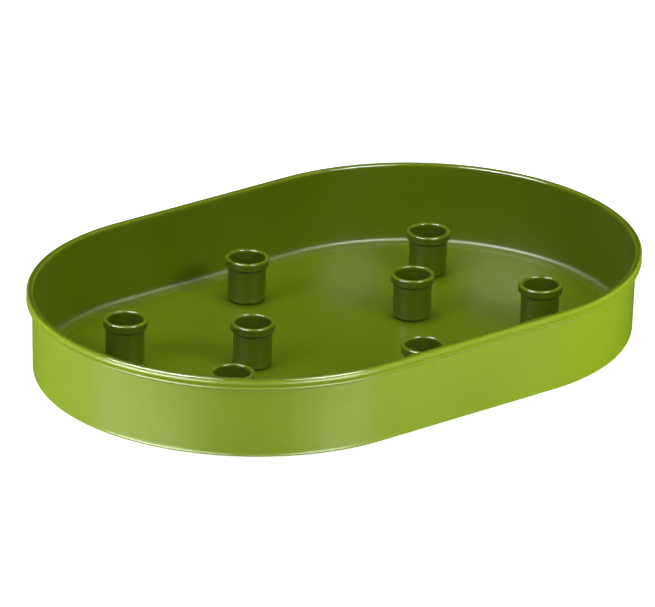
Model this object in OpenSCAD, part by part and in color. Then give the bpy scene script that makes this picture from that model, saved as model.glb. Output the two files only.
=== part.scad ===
// Oblong sheet-metal candle tray with eight candle cups riveted to its floor.
// Origin: on the table, under the middle of the tray. X runs along the tray, Z is up.

/* [Tray] */
// Length over the rim
tray_l = 413; // [300:1:520]
// Width over the rim
tray_w = 277; // [230:1:340]
// Height from the table to the top of the rim
tray_h = 53.5; // [40:0.5:80]
// Thickness of the tray's sheet
sheet_t = 1.0; // [0.6:0.1:1.2]
// How much further out the wall stands at the rim than at its foot
wall_draft = 1.0; // [0:0.1:4]
// Outside radius where the wall turns into the floor
corner_r = 3.5; // [2:0.5:10]

/* [Rim] */
// How far the folded rim stands out from the wall
rim_out = 3.4; // [2.9:0.1:8]
// Height of the folded rim
rim_h = 7; // [5:0.5:14]
// Outside radius of the rim's two top edges
rim_top_r = 1.3; // [1.1:0.1:2]
// Outside radius of the rim's lower edge
rim_foot_r = 1.7; // [1.5:0.1:2.2]
// Gap between the end of the fold and the wall
rim_gap = 0.4; // [0.2:0.1:0.8]

/* [Floor] */
// Width of the flat ring that the tray stands on
foot_w = 9; // [6:0.5:16]
// How far the middle of the floor is raised above that ring
floor_rise = 2; // [1.6:0.1:3]
// Width of the slope between the ring and the raised floor
slope_w = 4; // [3.5:0.5:8]

/* [Candle cups] */
// Diameter of the bore that a candle stands in
cup_bore = 22.6; // [16:0.1:27]
// Thickness of a cup's sheet
cup_t = 0.8; // [0.5:0.1:1]
// Height of a cup
cup_h = 29; // [20:0.5:45]
// Outside radius at a cup's foot
cup_foot_r = 3; // [2:0.25:4]

/* [Cup lips] */
// How far a cup's rolled lip stands out from its side
lip_out = 1.9; // [1.7:0.1:3]
// Height of a cup's rolled lip
lip_h = 5.5; // [4:0.25:8]
// Outside radius of the lip's two top edges
lip_top_r = 1.3; // [1.1:0.05:1.3]
// Outside radius of the lip's lower edge
lip_foot_r = 1.1; // [1.05:0.05:1.3]
// Gap between the end of the lip and the cup's side
lip_gap = 0.3; // [0.15:0.05:0.5]

/* [Cup places] */
// Gap from the inside of the tray's end to the axis of each end cup
end_inset = 80; // [50:1:100]
// Distance between the two cups of an end pair
end_pitch = 107; // [60:1:130]
// Gap from the inside of the tray's long side to the axis of each side cup
side_inset = 47; // [25:1:60]
// Distance between the two inner cups
inner_pitch = 130; // [70:1:160]

/* [Rivets] */
// Diameter of a rivet's shank
rivet_d = 4; // [3:0.5:5]
// Radial clearance of a shank in its holes
rivet_gap = 0.1; // [0.05:0.05:0.3]
// Diameter of a rivet's domed head
rivet_head_d = 8; // [7:0.5:10]
// Height of that head
rivet_head_h = 1.8; // [1:0.1:2.4]
// Diameter of a rivet's closed end, under the floor
rivet_tail_d = 7; // [6:0.5:9]
// Height of that closed end
rivet_tail_h = 1.2; // [0.8:0.1:1.4]

/* [Hidden] */
cup_count = 8;
$fn = 96;
bend_steps = 6;
cut_extra = 1;

rim_r = tray_w / 2;
end_x = tray_l / 2 - rim_r;
wall_r = rim_r - rim_out;
inner_r = wall_r - sheet_t;
floor_z = floor_rise + sheet_t;

cup_r = cup_bore / 2 + cup_t;
lip_r = cup_r + lip_out;
rivet_hole_r = rivet_d / 2 + rivet_gap;

// Even places of the cups: an end pair at each end, one near each long side, two inside.
end_cup_x = end_x + inner_r - end_inset;
end_cup_y = end_pitch / 2;
side_cup_y = inner_r - side_inset;
inner_cup_x = inner_pitch / 2;

// The cups were set by hand, so each stands a little away from its even place.
cup_place = [
    [-end_cup_x - 3.5, end_cup_y - 2],
    [-2.5, side_cup_y],
    [-inner_cup_x + 1, 2],
    [-end_cup_x - 0.5, -end_cup_y + 0.5],
    [end_cup_x - 3, end_cup_y + 2],
    [inner_cup_x + 1, 5.5],
    [end_cup_x - 1, -end_cup_y - 0.5],
    [0, -side_cup_y],
];

// A folded sheet is drawn as a path along the middle of its thickness. Each step of the path
// is [radius, height, and the two parts of the direction of its inner face].

// A bend about a centre, from one angle to another. It turns left when the angle grows.
function bend(centre, r, from, to) = [
    for (i = [0:bend_steps])
        let (a = from + (to - from) * i / bend_steps, side = to > from ? -1 : 1)
            [centre[0] + r * cos(a), centre[1] + r * sin(a), side * cos(a), side * sin(a)]
];

// A rim folded outwards and down from a wall that leans out by an angle.
function folded_rim(inner, outer, top, h, top_r, foot_r, gap, t, lean) = concat(
    bend([inner + top_r, top - top_r], top_r - t / 2, 180 - lean, 90),
    bend([outer - top_r, top - top_r], top_r - t / 2, 90, 0),
    bend([outer - foot_r, top - h + foot_r], foot_r - t / 2, 0, -90),
    [[inner + t + gap, top - h + t / 2, 0, -1]]
);

// One face of the sheet along a path, as points.
function face(path, offset) = [for (p = path) [p[0] + p[2] * offset, p[1] + p[3] * offset]];

// Both faces of the sheet, as one closed outline.
function sheet(path, t) = concat(face(path, t / 2), backwards(face(path, -t / 2)));

function backwards(list) = [for (i = [len(list) - 1:-1:0]) list[i]];
function without_first(list) = [for (i = [1:len(list) - 1]) list[i]];

// The tray's path: raised floor, slope, standing ring, corner, wall and rim.
function tray_path() =
    let (
        lean = atan(wall_draft / (tray_h - corner_r)),
        corner = corner_r - sheet_t / 2,
        turn = rim_top_r - sheet_t / 2,
        wall_top = [inner_r + rim_top_r - turn * cos(lean), tray_h - rim_top_r + turn * sin(lean)],
        wall_foot_z = corner_r - corner * sin(lean),
        wall_foot_r = wall_top[0] - (wall_top[1] - wall_foot_z) * tan(lean),
        corner_at = wall_foot_r - corner * cos(lean),
        slope_a = 2 * atan(floor_rise / slope_w),
        slope_r = slope_w / 2 / sin(slope_a),
        ring_at = corner_at - foot_w
    )
    concat(
        [[0, floor_z - sheet_t / 2, 0, 1]],
        bend([ring_at - slope_w, floor_z - sheet_t / 2 - slope_r], slope_r, 90, 90 - slope_a),
        without_first(bend([ring_at, sheet_t / 2 + slope_r], slope_r, 270 - slope_a, 270)),
        bend([corner_at, corner_r], corner, 270, 360 - lean),
        folded_rim(inner_r, rim_r, tray_h, rim_h, rim_top_r, rim_foot_r, rim_gap, sheet_t, lean)
    );

// A cup's path, from the rivet hole in its floor to the end of its lip.
function cup_path() = concat(
    [[rivet_hole_r, cup_t / 2, 0, 1]],
    bend([cup_r - cup_foot_r, cup_foot_r], cup_foot_r - cup_t / 2, 270, 360),
    folded_rim(cup_bore / 2, lip_r, cup_h, lip_h, lip_top_r, lip_foot_r, lip_gap, cup_t, 0)
);

module tray_half_end() {
    rotate([0, 0, -90]) rotate_extrude(angle = 180) polygon(sheet(tray_path(), sheet_t));
}

module tray_straight() {
    side = sheet(without_first(tray_path()), sheet_t);
    other_side = [for (p = backwards(side)) [-p[0], p[1]]];
    rotate([90, 0, 90]) linear_extrude(height = 2 * end_x, center = true)
        polygon(concat(side, other_side));
}

module tray() {
    color("olivedrab") difference() {
        union() {
            tray_straight();
            translate([end_x, 0, 0]) tray_half_end();
            mirror([1, 0, 0]) translate([end_x, 0, 0]) tray_half_end();
        }
        for (place = cup_place) translate([place[0], place[1], floor_rise - cut_extra])
            cylinder(r = rivet_hole_r, h = sheet_t + 2 * cut_extra);
    }
}

module candle_cup(i) {
    color("olivedrab") translate([cup_place[i - 1][0], cup_place[i - 1][1], floor_z])
        rotate_extrude() polygon(sheet(cup_path(), cup_t));
}

// One rivet, standing with the underside of the tray's floor at height 0.
module rivet() {
    seat_z = sheet_t + cup_t;
    head_r = rivet_head_d / 2;
    dome_r = (head_r * head_r + rivet_head_h * rivet_head_h) / 2 / rivet_head_h;
    dome_a = asin(head_r / dome_r);
    dome = bend([0, seat_z + rivet_head_h - dome_r], dome_r, 90 - dome_a, 90);
    rotate_extrude() polygon(concat(
        [[0, -rivet_tail_h], [rivet_tail_d / 2, -rivet_tail_h], [rivet_tail_d / 2, 0]],
        [[rivet_d / 2, 0], [rivet_d / 2, seat_z]],
        [for (p = dome) [max(p[0], 0), p[1]]]
    ));
}

module cup_rivets() {
    color("olivedrab") for (place = cup_place) translate([place[0], place[1], floor_rise])
        rivet();
}

tray();
cup_rivets();
for (i = [1:cup_count]) candle_cup(i);
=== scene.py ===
# Oblong painted sheet-metal candle tray with eight candle cups riveted to its floor.
# Everything is in metres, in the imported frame: origin on the table, X along the tray, Z up.
import math

import bmesh
import bpy
from mathutils import Matrix, Vector


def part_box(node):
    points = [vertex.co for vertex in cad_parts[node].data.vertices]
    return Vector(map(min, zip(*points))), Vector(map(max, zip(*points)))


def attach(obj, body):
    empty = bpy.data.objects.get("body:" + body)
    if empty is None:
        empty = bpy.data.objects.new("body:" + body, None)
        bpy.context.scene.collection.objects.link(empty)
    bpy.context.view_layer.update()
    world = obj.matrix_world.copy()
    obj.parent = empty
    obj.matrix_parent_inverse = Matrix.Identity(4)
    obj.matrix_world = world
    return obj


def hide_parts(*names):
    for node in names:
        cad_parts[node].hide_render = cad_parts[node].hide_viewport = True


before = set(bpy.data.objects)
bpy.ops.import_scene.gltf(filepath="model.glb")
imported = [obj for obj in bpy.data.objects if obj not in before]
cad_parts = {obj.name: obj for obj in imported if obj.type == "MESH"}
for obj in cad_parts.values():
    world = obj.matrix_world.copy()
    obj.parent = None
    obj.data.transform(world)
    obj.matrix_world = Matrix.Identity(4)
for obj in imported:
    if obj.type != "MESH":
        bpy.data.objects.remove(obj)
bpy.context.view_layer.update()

# ---------------------------------------------------------------------------------------
# Tray: one drawn steel sheet. Its floor is raised inside a flat standing ring, the wall
# leans out a little, and the edge is folded outwards and down into a flat hem with a
# fuller bead along its foot. Powder coated all over after the cups were riveted on.

tray_low, tray_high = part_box("tray")
rim_r = (tray_high.y - tray_low.y) / 2
end_x = (tray_high.x - tray_low.x) / 2 - rim_r
tray_h = tray_high.z
sheet_t = 0.0010
wall_draft = 0.0010
corner_r = 0.0035
rim_out = 0.0034
rim_h = 0.0070
rim_top_r = 0.0013
rim_foot_r = 0.0017
rim_gap = 0.0004
rim_waist = 0.00045
rim_hollow = 0.00034
foot_w = 0.0090
floor_rise = 0.0020
slope_w = 0.0040
fold_wander = 0.00018  # how far the fold's end rises and falls on its way round
sharpest_r = 0.0013  # an outside bend this tight is lightened fully (thin paint and painted highlight), an inside one gets the full painted shade
painted_shade_top = 0.0030  # where the fold shades the wall, the painted shade reaches from this far under the rim's top
painted_shade_drop = 0.0010  # to this far under the fold
floor_z = floor_rise + sheet_t
inner_r = rim_r - rim_out - sheet_t


def bend(centre, r, start, end, steps=9, keen=1.0):
    """Steps along an arc: radius, height, direction of the inner face, and how sharply it turns."""
    side = -1 if end > start else 1
    sharp = side * min(1.0, sharpest_r / r) * keen
    for i in range(steps + 1):
        a = math.radians(start + (end - start) * i / steps)
        x, z = math.cos(a), math.sin(a)
        yield (centre[0] + r * x, centre[1] + r * z, side * x, side * z, sharp)


def folded_rim(inner, outer, top, h, top_r, foot_r, gap, t, lean, waist, hollow):
    """The edge folded outwards and down from a wall, ending a small gap short of the wall."""
    steps = list(bend((inner + top_r, top - top_r), top_r - t / 2, 180 - lean, 90))
    top_w = outer - inner - 2 * top_r
    for i in range(1, 10 if hollow else 1):
        u = i / 10
        dip = hollow * math.sin(math.pi * u) ** 2
        tilt = -hollow * math.pi * math.sin(2 * math.pi * u) / top_w
        size = math.hypot(1, tilt)
        r = inner + top_r + top_w * u
        steps.append((r, top - t / 2 - dip, tilt / size, -1 / size, 0))
    steps += bend((outer - top_r, top - top_r), top_r - t / 2, 90, 0)
    face_top, face_foot = top - top_r, top - h + foot_r
    for i in range(1, 8):
        u = i / 8
        dip = waist * math.sin(math.pi * u) ** 2
        tilt = waist * math.pi * math.sin(2 * math.pi * u) / (face_top - face_foot)
        size = math.hypot(1, tilt)
        z = face_top + (face_foot - face_top) * u
        steps.append((outer - t / 2 - dip, z, 1 / size, -tilt / size, 0))
    steps += bend((outer - foot_r, face_foot), foot_r - t / 2, 0, -90, keen=0.2)
    steps.append((inner + t + gap, top - h + t / 2, 0, -1, 0))
    return steps


def sheet_outline(path, t):
    """Both faces of a folded sheet, as one closed outline of radius, height and turn."""
    inner = [(p[0] + p[2] * t / 2, p[1] + p[3] * t / 2, p[4]) for p in path]
    outer = [(p[0] - p[2] * t / 2, p[1] - p[3] * t / 2, -p[4]) for p in path]
    return inner + outer[::-1]


def sheet_mesh(name, verts, turns, faces):
    """A clean mesh that keeps how sharply the sheet turns at each point."""
    mesh = bpy.data.meshes.new(name)
    mesh.from_pydata(verts, [], faces)
    mesh.attributes.new("turn", "FLOAT", "POINT").data.foreach_set("value", turns)
    shape = bmesh.new()
    shape.from_mesh(mesh)
    bmesh.ops.remove_doubles(shape, verts=shape.verts, dist=1e-6)
    bmesh.ops.dissolve_degenerate(shape, edges=shape.edges, dist=1e-7)
    bmesh.ops.recalc_face_normals(shape, faces=shape.faces)
    shape.to_mesh(mesh)
    shape.free()
    return mesh


def smooth_but_sharp(mesh):
    """Smooth shading, broken only at true corners."""
    mesh.shade_smooth()
    mesh.set_sharp_from_angle(angle=math.radians(50))


def new_piece(name, mesh):
    """A mesh object in the scene, smooth except at true corners."""
    smooth_but_sharp(mesh)
    piece = bpy.data.objects.new(name, mesh)
    bpy.context.scene.collection.objects.link(piece)
    return piece


def tray_path():
    """The sheet's path from the middle of the floor out to the end of the fold."""
    lean = math.atan(wall_draft / (tray_h - corner_r))
    corner, turn = corner_r - sheet_t / 2, rim_top_r - sheet_t / 2
    wall_top_r = inner_r + rim_top_r - turn * math.cos(lean)
    wall_top_z = tray_h - rim_top_r + turn * math.sin(lean)
    wall_foot_z = corner_r - corner * math.sin(lean)
    wall_foot_r = wall_top_r - (wall_top_z - wall_foot_z) * math.tan(lean)
    corner_at = wall_foot_r - corner * math.cos(lean)
    slope_a = 2 * math.atan(floor_rise / slope_w)
    slope_r = slope_w / 2 / math.sin(slope_a)
    slope_deg, lean_deg = math.degrees(slope_a), math.degrees(lean)
    ring_at = corner_at - foot_w
    middle_z = floor_z - sheet_t / 2
    path = [(r, middle_z, 0, 1, 0) for r in (0, 0.02, 0.05, 0.08, 0.1)]
    path += bend((ring_at - slope_w, middle_z - slope_r), slope_r, 90, 90 - slope_deg, keen=0)
    slope_foot = (ring_at, sheet_t / 2 + slope_r)
    path += list(bend(slope_foot, slope_r, 270 - slope_deg, 270, keen=0))[1:]
    path += bend((corner_at, corner_r), corner, 270, 360 - lean_deg, 14, keen=0.5)
    for i in range(1, 24):
        u = i / 24
        r = wall_foot_r + (wall_top_r - wall_foot_r) * u
        z = wall_foot_z + (wall_top_z - wall_foot_z) * u
        path.append((r, z, -math.cos(lean), math.sin(lean), 0))
    return path + folded_rim(inner_r, rim_r, tray_h, rim_h, rim_top_r, rim_foot_r, rim_gap,
                             sheet_t, lean_deg, rim_waist, rim_hollow)


def around_tray(end_steps=120, side_steps=24):
    """Places round the tray: where the section stands on its middle line, and its heading."""
    for i in range(end_steps):
        yield end_x, math.radians(-90 + 180 * i / end_steps)
    for i in range(side_steps):
        yield end_x - 2 * end_x * i / side_steps, math.radians(90)
    for i in range(end_steps):
        yield -end_x, math.radians(90 + 180 * i / end_steps)
    for i in range(side_steps):
        yield -end_x + 2 * end_x * i / side_steps, math.radians(270)


def swept_tray():
    """The outline carried round the tray, with an uneven fold and a painted shade on the wall close
    under it.
    """
    outline = []
    for r, z, turn in sheet_outline(tray_path(), sheet_t):
        # A band of the wall's outer face just under the fold gets a turn of -0.8, which darkens it:
        # painted shade where the fold shades the wall.
        on_wall = inner_r + sheet_t * 0.5 < r < inner_r + sheet_t * 1.2
        under_fold = tray_h - rim_h - painted_shade_drop < z < tray_h - painted_shade_top
        outline.append((r, z, -0.8 if on_wall and under_fold else turn))
    verts, turns, places = [], [], list(around_tray())
    count = len(outline)
    for k, (x, heading) in enumerate(places):
        along = 2 * math.pi * k / len(places)
        uneven = 0.5 + 0.25 * math.sin(7 * along + 1) + 0.25 * math.sin(17 * along + 2)
        for r, z, turn in outline:
            at_fold = r > inner_r + sheet_t * 1.2 and z < tray_h - rim_h * 0.6
            lift = fold_wander * uneven if at_fold else 0
            verts.append((x + r * math.cos(heading), r * math.sin(heading), z + lift))
            turns.append(turn)
    faces = []
    for k in range(len(places)):
        a, b = k * count, (k + 1) % len(places) * count
        for i in range(count - 1):
            faces.append((a + i, b + i, b + i + 1, a + i + 1))
    return sheet_mesh("tray_sheet", verts, turns, faces)


def at_sockets(nodes, **values):
    """Sets the named inputs of a node or group to plain values."""
    for name, value in values.items():
        nodes.inputs[name.replace("_", " ")].default_value = value


def powder_coat_group():
    """Powder coat: slow shifts of colour, orange peel, lighter on edges as thin paint and painted
    highlight, painted shade and duller roughness in corners.
    """
    group = bpy.data.node_groups.new("powder_coat", "ShaderNodeTree")
    sockets = (
        ("Place", "INPUT", "NodeSocketVector"), ("Turn", "INPUT", "NodeSocketFloat"),
        ("Paint", "INPUT", "NodeSocketColor"), ("Thin", "INPUT", "NodeSocketColor"),
        ("Pooled", "INPUT", "NodeSocketColor"), ("Base roughness", "INPUT", "NodeSocketFloat"),
        ("Peel size", "INPUT", "NodeSocketFloat"), ("Colour", "OUTPUT", "NodeSocketColor"),
        ("Roughness", "OUTPUT", "NodeSocketFloat"), ("Height", "OUTPUT", "NodeSocketFloat"),
    )
    for name, way, kind in sockets:
        group.interface.new_socket(name=name, in_out=way, socket_type=kind)
    nodes, link = group.nodes, group.links.new
    given, made = nodes.new("NodeGroupInput"), nodes.new("NodeGroupOutput")

    def noise(scale, detail, rough=0.5):
        n = nodes.new("ShaderNodeTexNoise")
        link(given.outputs["Place"], n.inputs["Vector"])
        at_sockets(n, Detail=detail, Roughness=rough)
        if scale is None:
            link(given.outputs["Peel size"], n.inputs["Scale"])
        else:
            n.inputs["Scale"].default_value = scale
        return n.outputs["Fac"]

    def remap(value, low, high, to_low, to_high):
        n = nodes.new("ShaderNodeMapRange")
        link(value, n.inputs["Value"])
        at_sockets(n, From_Min=low, From_Max=high, To_Min=to_low, To_Max=to_high)
        return n.outputs["Result"]

    def sums(operation, a, b):
        n = nodes.new("ShaderNodeMath")
        n.operation = operation
        for i, v in enumerate((a, b)):
            if isinstance(v, (int, float)):
                n.inputs[i].default_value = v
            else:
                link(v, n.inputs[i])
        return n.outputs["Value"]

    def mixed(amount, a, b):
        n = nodes.new("ShaderNodeMix")
        n.data_type = "RGBA"
        first, second = (s for s in n.inputs if s.type == "RGBA")
        link(amount, n.inputs["Factor"])
        link(a, first)
        link(b, second)
        return next(s for s in n.outputs if s.type == "RGBA")

    # Slow random shifts of tone, mixing up to a little of the dark shade colour in.
    drift = remap(noise(14, 3), 0.3, 0.7, 0.0, 0.08)
    colour = mixed(drift, given.outputs["Paint"], given.outputs["Pooled"])
    # Outside bends are lightened, partly as thin paint and partly as a painted highlight.
    edge = remap(given.outputs["Turn"], 0.1, 1.0, 0.0, 0.7)
    broken_edge = sums("MULTIPLY", edge, remap(noise(160, 4), 0.35, 0.65, 0.55, 1.0))
    colour = mixed(broken_edge, colour, given.outputs["Thin"])
    # Inside bends, recesses and the bands marked under folds and lips are darkened towards the
    # shade colour: painted shade.
    corner = remap(given.outputs["Turn"], -1.0, -0.1, 0.95, 0.0)
    colour = mixed(corner, colour, given.outputs["Pooled"])
    link(colour, made.inputs["Colour"])

    haze = remap(noise(38, 5, 0.6), 0.35, 0.65, -0.012, 0.018)
    smooth_edge = remap(given.outputs["Turn"], 0.1, 1.0, 0.0, -0.2)
    dull_corner = remap(given.outputs["Turn"], -0.25, -0.05, 0.28, 0.0)
    flats = sums("ADD", given.outputs["Base roughness"], haze)
    turned_in = sums("ADD", flats, dull_corner)
    link(sums("ADD", turned_in, smooth_edge), made.inputs["Roughness"])

    peel = noise(None, 2.5, 0.55)
    swell = sums("MULTIPLY", noise(70, 2), 0.3)
    slow = sums("MULTIPLY", noise(9, 1), 2.0)
    link(sums("ADD", sums("ADD", peel, swell), slow), made.inputs["Height"])
    return group


powder_coat = powder_coat_group()
leaf_green = (0.240, 0.355, 0.002, 1)
# The tray's paint drawn darker for the cups and rivets: painted shade.
shaded_green = (0.160, 0.255, 0.0006, 1)
# Lighter colour on outside bends: partly thin paint, partly painted highlight.
thin_paint_and_highlight_green = (0.37, 0.49, 0.035, 1)
# Painted shade for inside bends, recesses and under folds and lips; also the dark end of the slow
# shifts of tone.
shade_and_tone_green = (0.045, 0.08, 0.001, 1)


def painted(name, paint, shine, rough, peel_size, peel_depth, scuffed=0.0):
    """A powder-coated metal, with its own colour, shine, roughness and orange peel."""
    material = bpy.data.materials.new(name)
    material.use_nodes = True
    nodes, link = material.node_tree.nodes, material.node_tree.links.new
    surface = nodes["Principled BSDF"]
    coat = nodes.new("ShaderNodeGroup")
    coat.node_tree = powder_coat
    place = nodes.new("ShaderNodeTexCoord")
    turn = nodes.new("ShaderNodeAttribute")
    turn.attribute_name = "turn"
    link(place.outputs["Object"], coat.inputs["Place"])
    link(turn.outputs["Fac"], coat.inputs["Turn"])
    at_sockets(coat, Paint=paint, Thin=thin_paint_and_highlight_green, Pooled=shade_and_tone_green,
               Base_roughness=rough, Peel_size=peel_size)
    peel = nodes.new("ShaderNodeBump")
    at_sockets(peel, Strength=1.0, Distance=peel_depth)
    link(coat.outputs["Height"], peel.inputs["Height"])
    link(peel.outputs["Normal"], surface.inputs["Normal"])
    link(coat.outputs["Roughness"], surface.inputs["Roughness"])
    at_sockets(surface, Specular_IOR_Level=shine)
    colour = coat.outputs["Colour"]
    if scuffed:
        colour = scuffs(nodes, link, place.outputs["Object"], colour, scuffed)
    link(colour, surface.inputs["Base Color"])
    return material


def scuffs(nodes, link, place, colour, amount):
    """Paint rubbed grey in short scratches, only on the ring that slides on the table."""
    height = nodes.new("ShaderNodeSeparateXYZ")
    low = nodes.new("ShaderNodeMapRange")
    at_sockets(low, From_Min=0.0, From_Max=0.00025, To_Min=amount, To_Max=0.0)
    scratch = nodes.new("ShaderNodeTexNoise")
    at_sockets(scratch, Scale=240.0, Detail=6.0, Distortion=1.5)
    bare = nodes.new("ShaderNodeMapRange")
    at_sockets(bare, From_Min=0.52, From_Max=0.62)
    both = nodes.new("ShaderNodeMath")
    both.operation = "MULTIPLY"
    rubbed = nodes.new("ShaderNodeMix")
    rubbed.data_type = "RGBA"
    whole, bared = (s for s in rubbed.inputs if s.type == "RGBA")
    bared.default_value = (0.30, 0.31, 0.28, 1)
    link(place, height.inputs["Vector"])
    link(place, scratch.inputs["Vector"])
    link(height.outputs["Z"], low.inputs["Value"])
    link(scratch.outputs["Fac"], bare.inputs["Value"])
    link(low.outputs["Result"], both.inputs[0])
    link(bare.outputs["Result"], both.inputs[1])
    link(both.outputs["Value"], rubbed.inputs["Factor"])
    link(colour, whole)
    return next(s for s in rubbed.outputs if s.type == "RGBA")


tray_paint = painted("tray_powder_coat", leaf_green, 0.33, 0.25, 950.0, 0.00005, scuffed=0.8)
tray = new_piece("tray_shell", swept_tray())
tray.data.materials.append(tray_paint)

# ---------------------------------------------------------------------------------------
# Rivets: one through the middle of each cup's floor and the tray's floor, with a domed
# head inside the cup and a closed end under the tray. Painted over with the rest.

cup_nodes = sorted(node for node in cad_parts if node.startswith("candle_cup_"))
cup_boxes = [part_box(node) for node in cup_nodes]
cup_places = [((low.x + high.x) / 2, (low.y + high.y) / 2) for low, high in cup_boxes]
cup_t = 0.0008
rivet_d = 0.0040
rivet_gap = 0.0001
rivet_head_r = 0.0040
rivet_head_h = 0.0018
rivet_tail_r = 0.0035
rivet_tail_h = 0.0012
tail_edge_r = 0.0005
pin_r = 0.0011
punch_past = 0.004
rivet_sides = 40


def turned(name, outline, places, segments, closed):
    """An outline of radius, height and turn spun round an upright axis at each place."""
    verts, turns, faces = [], [], []
    count = len(outline)
    for x, y in places:
        first = len(verts)
        for k in range(segments):
            a = 2 * math.pi * k / segments
            for r, z, turn in outline:
                verts.append((x + r * math.cos(a), y + r * math.sin(a), z))
                turns.append(turn)
        for k in range(segments):
            a, b = first + k * count, first + (k + 1) % segments * count
            for i in range(count if closed else count - 1):
                j = (i + 1) % count
                faces.append((a + i, b + i, b + j, a + j))
    return sheet_mesh(name, verts, turns, faces)


def rivet_outline():
    """From the closed end up to the domed head, with the dimple that the pin leaves."""
    seat = floor_z + cup_t
    foot = floor_rise - rivet_tail_h
    dome_r = (rivet_head_r**2 + rivet_head_h**2) / 2 / rivet_head_h
    dome_z = seat + rivet_head_h - dome_r
    edge_at = rivet_tail_r - tail_edge_r
    # The third number of each row is its turn: above zero lightens the paint, below zero darkens it
    # as painted shade, as in the pin's dimple.
    rows = [(0, foot, 0), (edge_at, foot, 0.2)]
    for i in range(1, 6):
        a = math.radians(-90 + 18 * i)
        r = edge_at + tail_edge_r * math.cos(a)
        rows.append((r, foot + tail_edge_r * (1 + math.sin(a)), 0.6))
    rows += [(rivet_tail_r, floor_rise, 0), (rivet_d / 2, floor_rise, -0.4)]
    rows += [(rivet_d / 2, seat, -0.4), (rivet_head_r - 0.0002, seat, 0.3)]
    start = math.asin(rivet_head_r / dome_r)
    for i in range(11):
        a = start * (1 - i / 10)
        r = dome_r * math.sin(a)
        if r > pin_r + 0.0002:
            rows.append((r, dome_z + dome_r * math.cos(a), 0.25 if i else 0.8))
    top = dome_z + math.sqrt(dome_r**2 - pin_r**2)
    rows += [(pin_r + 0.0001, top, 0.5), (pin_r, top - 0.0002, 0.3)]
    rows += [(pin_r * 0.9, top - 0.0007, -0.6), (0, top - 0.00085, -0.6)]
    return rows


# The rivets take the cups' darker green, a painted shade.
rivet_paint = painted("rivet_powder_coat", shaded_green, 0.21, 0.3, 1400.0, 0.00003)
rivets = new_piece("rivet_set", turned("rivets", rivet_outline(), cup_places, rivet_sides, False))
rivets.data.materials.append(rivet_paint)
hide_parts("cup_rivets")
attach(rivets, "root")

# The holes that the shanks pass through are cut in the tray's floor once it is swept.
hole_r = rivet_d / 2 + rivet_gap
punch_rows = [(0, floor_rise - punch_past, 0), (hole_r, floor_rise - punch_past, 0),
              (hole_r, floor_z + punch_past, 0), (0, floor_z + punch_past, 0)]
punch = new_piece("punch", turned("punch", punch_rows, cup_places, rivet_sides, False))
punching = tray.modifiers.new("rivet_holes", "BOOLEAN")
punching.object, punching.operation, punching.solver = punch, "DIFFERENCE", "EXACT"
bpy.context.view_layer.update()
punched = bpy.data.meshes.new_from_object(tray.evaluated_get(
    bpy.context.evaluated_depsgraph_get()))
tray.modifiers.clear()
smooth_but_sharp(punched)
tray.data = punched
bpy.data.objects.remove(punch)
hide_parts("tray")
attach(tray, "root")

# ---------------------------------------------------------------------------------------
# Candle cups: drawn steel cups with a rounded foot and a rolled lip, each held down by its
# rivet, and each a few millimetres off its even place. Their paint is drawn darker than the
# tray's, as painted shade.

cup_h = cup_boxes[0][1].z - cup_boxes[0][0].z
lip_r = (cup_boxes[0][1].x - cup_boxes[0][0].x) / 2
lip_out = 0.0019
lip_h = 0.0055
lip_top_r = 0.0013
lip_foot_r = 0.0011
lip_gap = 0.0003
lip_waist = 0.0001
lip_shade_drop = 0.0015
cup_foot_r = 0.0030
cup_sides = 112
cup_r = lip_r - lip_out
bore_r = cup_r - cup_t


def cup_path():
    """The cup's sheet from the rivet hole out to the foot, up the side and over the lip."""
    path = [(hole_r, cup_t / 2, 0, 1, 0), (rivet_head_r, cup_t / 2, 0, 1, 0)]
    path += bend((cup_r - cup_foot_r, cup_foot_r), cup_foot_r - cup_t / 2, 270, 360, 12)
    for i in range(1, 20):
        z = cup_foot_r + (cup_h - lip_top_r - cup_foot_r) * i / 20
        path.append((cup_r - cup_t / 2, z, -1, 0, 0))
    return path + folded_rim(bore_r, lip_r, cup_h, lip_h, lip_top_r, lip_foot_r, lip_gap,
                             cup_t, 0, lip_waist, 0)


# The cups take the darker green, a painted shade.
cup_paint = painted("cup_powder_coat", shaded_green, 0.21, 0.3, 1200.0, 0.00004)
cup_rows = []
for r, z, turn in sheet_outline(cup_path(), cup_t):
    # A band of the cup's side just under the lip gets a turn of -1, which darkens it fully: painted
    # shade where the lip shades the side.
    on_side = abs(r - cup_r) < 0.0001
    under_lip = on_side and cup_h - lip_h - lip_shade_drop < z < cup_h - painted_shade_top
    cup_rows.append((r, z + floor_z, -1.0 if under_lip else turn))
for node, place in zip(cup_nodes, cup_places):
    cup = new_piece(node + "_shell", turned(node, cup_rows, [place], cup_sides, True))
    cup.data.materials.append(cup_paint)
    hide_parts(node)
    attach(cup, "root")

# ---------------------------------------------------------------------------------------
# Studio: a white polished table and surround. Three softboxes and two low strips light the
# paint; two large panels, to the left and right of the viewer, show only as its highlights.

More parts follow.
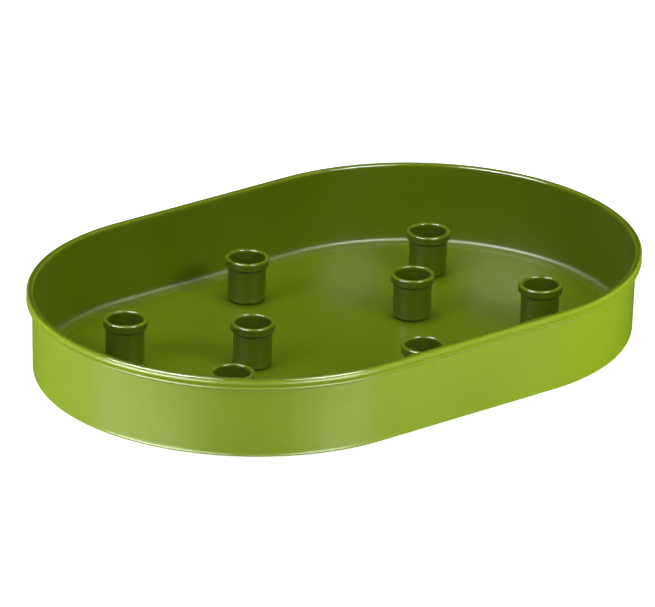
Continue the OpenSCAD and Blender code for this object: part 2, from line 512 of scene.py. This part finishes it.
# The table throws light up on the paint as a white card, mirrors the panels on to the wall
# as a dull polish, and looks plain white itself.
table = bpy.data.materials.new("white_table")
table.use_nodes = True
table_nodes, table_link = table.node_tree.nodes, table.node_tree.links.new
card = table_nodes["Principled BSDF"]
polish, bright = (table_nodes.new("ShaderNodeBsdfPrincipled") for _ in range(2))
at_sockets(card, Base_Color=(0.9, 0.9, 0.9, 1), Roughness=0.9, Emission_Color=(1, 1, 1, 1),
           Emission_Strength=0.5)
at_sockets(bright, Base_Color=(0.9, 0.9, 0.9, 1), Roughness=0.9, Emission_Color=(1, 1, 1, 1),
           Emission_Strength=0.8)
at_sockets(polish, Base_Color=(0.44, 0.44, 0.44, 1), Metallic=1.0, Roughness=0.26)
table_ray = table_nodes.new("ShaderNodeLightPath")
as_gloss, as_view = (table_nodes.new("ShaderNodeMixShader") for _ in range(2))
table_link(table_ray.outputs["Is Glossy Ray"], as_gloss.inputs["Fac"])
table_link(card.outputs["BSDF"], as_gloss.inputs[1])
table_link(polish.outputs["BSDF"], as_gloss.inputs[2])
table_link(table_ray.outputs["Is Camera Ray"], as_view.inputs["Fac"])
table_link(as_gloss.outputs["Shader"], as_view.inputs[1])
table_link(bright.outputs["BSDF"], as_view.inputs[2])
table_link(as_view.outputs["Shader"], table_nodes["Material Output"].inputs["Surface"])
table_mesh = bpy.data.meshes.new("table")
table_half = 6.0
table_z = -0.0002  # a hair under the tray's foot, so that no two faces share a plane
corners = [(-1, -1), (1, -1), (1, 1), (-1, 1)]
table_mesh.from_pydata([(x * table_half, y * table_half, table_z) for x, y in corners], [],
                       [(0, 1, 2, 3)])
table_mesh.materials.append(table)
floor = bpy.data.objects.new("table_top", table_mesh)
bpy.context.scene.collection.objects.link(floor)

camera_turn = math.radians(-38.83)
camera_lift = math.radians(22.72)
camera_roll = math.radians(1.40)
camera_away = 4.9575
camera_lens = 436.8
aim_up, aim_left, aim_down = 0.0315, 0.0052, 0.0024
flat, rise = math.cos(camera_lift), math.sin(camera_lift)
back = Vector((math.sin(camera_turn) * flat, -math.cos(camera_turn) * flat, rise))
level = Vector((math.cos(camera_turn), math.sin(camera_turn), 0))
upright = back.cross(level)
aim = Vector((0, 0, aim_up)) - level * aim_left - upright * aim_down
side = level * math.cos(camera_roll) + upright * math.sin(camera_roll)
top = upright * math.cos(camera_roll) - level * math.sin(camera_roll)
camera = bpy.data.objects.new("camera", bpy.data.cameras.new("camera"))
bpy.context.scene.collection.objects.link(camera)
camera.matrix_world = Matrix.Translation(aim + back * camera_away) @ Matrix(
    (side, top, back)).transposed().to_4x4()
camera.data.lens = camera_lens
camera.data.clip_end = 100
bpy.context.scene.camera = camera

lit_height = 0.025


def softbox(name, heading, lift, away, width, height, watts, seen_in):
    """A rectangular soft light facing the tray. It is seen in the paint's colour or its gloss."""
    light = bpy.data.lights.new(name, "AREA")
    light.shape, light.size, light.size_y, light.energy = "RECTANGLE", width, height, watts
    lamp = bpy.data.objects.new(name, light)
    bpy.context.scene.collection.objects.link(lamp)
    a, b = math.radians(heading), math.radians(lift)
    towards = Vector((math.cos(a) * math.cos(b), math.sin(a) * math.cos(b), math.sin(b)))
    lamp.location = Vector((0, 0, lit_height)) + towards * away
    lamp.rotation_mode = "QUATERNION"
    lamp.rotation_quaternion = towards.to_track_quat("Z", "Y")
    lamp.visible_camera = False
    lamp.visible_diffuse = seen_in == "paint"
    lamp.visible_glossy = seen_in == "gloss"


softbox("left_softbox", 178, 35, 1.5, 0.35, 0.6, 3.6, "paint")
softbox("right_softbox", -77, 35, 1.5, 0.35, 0.6, 4.5, "paint")
softbox("top_softbox", 51, 84, 1.5, 0.8, 0.8, 7.2, "paint")
softbox("left_strip", 152, 0, 0.7, 0.5, 0.03, 2.1, "paint")
softbox("right_strip", -56, 0, 0.7, 0.5, 0.03, 1.9, "paint")
softbox("left_gloss", 176, 48, 1.5, 1.1, 0.9, 170.0, "gloss")
softbox("right_gloss", -83, 48, 1.5, 0.7, 0.9, 90.0, "gloss")

surround = bpy.data.worlds.new("white_surround")
bpy.context.scene.world = surround
surround.use_nodes = True
sky, sky_link = surround.node_tree.nodes, surround.node_tree.links.new
seen, lit, mirrored = (sky.new("ShaderNodeBackground") for _ in range(3))
at_sockets(seen, Color=(1, 1, 1, 1), Strength=1.0)
at_sockets(lit, Color=(1, 1, 1, 1), Strength=0.04)
at_sockets(mirrored, Color=(1, 1, 1, 1), Strength=0.02)
ray = sky.new("ShaderNodeLightPath")
in_gloss, in_view = sky.new("ShaderNodeMixShader"), sky.new("ShaderNodeMixShader")
sky_link(ray.outputs["Is Glossy Ray"], in_gloss.inputs["Fac"])
sky_link(lit.outputs["Background"], in_gloss.inputs[1])
sky_link(mirrored.outputs["Background"], in_gloss.inputs[2])
sky_link(ray.outputs["Is Camera Ray"], in_view.inputs["Fac"])
sky_link(in_gloss.outputs["Shader"], in_view.inputs[1])
sky_link(seen.outputs["Background"], in_view.inputs[2])
sky_link(in_view.outputs["Shader"], sky["World Output"].inputs["Surface"])
bpy.context.scene.view_settings.view_transform = "Standard"
bpy.context.scene.cycles.caustics_reflective = False  # they only speckle the paint
